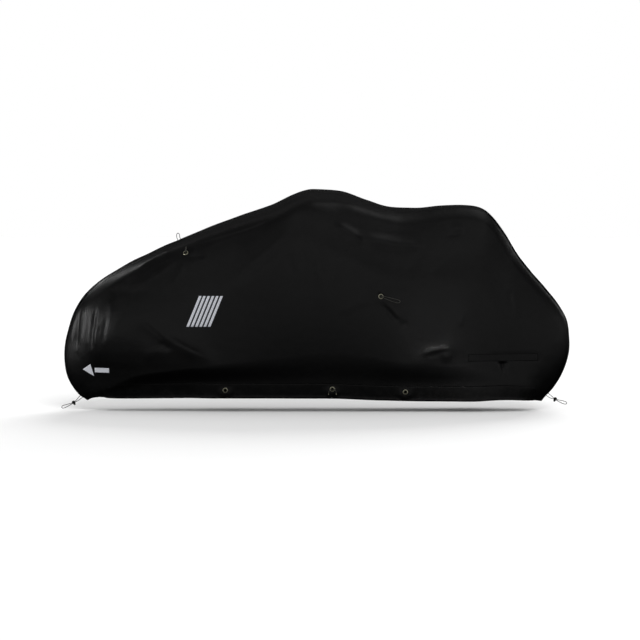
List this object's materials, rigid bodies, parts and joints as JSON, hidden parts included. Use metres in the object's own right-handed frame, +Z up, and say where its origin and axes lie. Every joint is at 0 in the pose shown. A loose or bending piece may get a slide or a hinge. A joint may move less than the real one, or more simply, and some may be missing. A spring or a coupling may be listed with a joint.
{
  "type": "bicycle cover",
  "caption": "Long black fitted cloth cover draped as over a bicycle, with a spine strip, drawcord hems, eyelets, cord loops and a low rear flap; hollow and open below.",
  "frame": {"origin": "the point on the cloth's inner face, under the crest, on which the cover rests and by which it is held; the ground lies 1.069 m below it", "axes": "+Z up. +X from the cover's front to its rear. The cover's left side, which carries the two high eyelets and the flap, is at -Y."},
  "size_m": [2.4638, 0.6625, 1.0629],
  "materials": {
    "coated_cloth": "satin coated weave",
    "aged_brass": "dulled, slightly worn",
    "elastic_cord": "braided, matte",
    "lock_plastic": "moulded, fine grain",
    "pale_print": "pale reflective print on the cloth",
    "sewing_thread": "twisted thread"
  },
  "bodies": {
    "root": {"side_panel_left": "coated_cloth", "side_panel_right": "coated_cloth", "spine_panel": "coated_cloth", "hem_left": "coated_cloth", "hem_right": "coated_cloth", "rear_flap": "coated_cloth", "eyelet_hem_left_front": "aged_brass", "eyelet_hem_left_mid": "aged_brass", "eyelet_hem_left_rear": "aged_brass", "eyelet_hem_right_front": "aged_brass", "eyelet_hem_right_mid": "aged_brass", "eyelet_hem_right_rear": "aged_brass", "eyelet_upper_front": "aged_brass", "eyelet_middle": "aged_brass", "front_drawcord": "elastic_cord", "rear_drawcord": "elastic_cord", "top_loop": "elastic_cord", "upper_loop": "elastic_cord", "upper_knot": "elastic_cord", "middle_loop": "elastic_cord", "middle_knot": "elastic_cord", "hem_tie": "elastic_cord", "hem_tie_tip_front": "aged_brass", "hem_tie_tip_rear": "aged_brass", "front_cord_lock": "lock_plastic", "rear_cord_lock": "lock_plastic"}
  },
  "joints": []
}
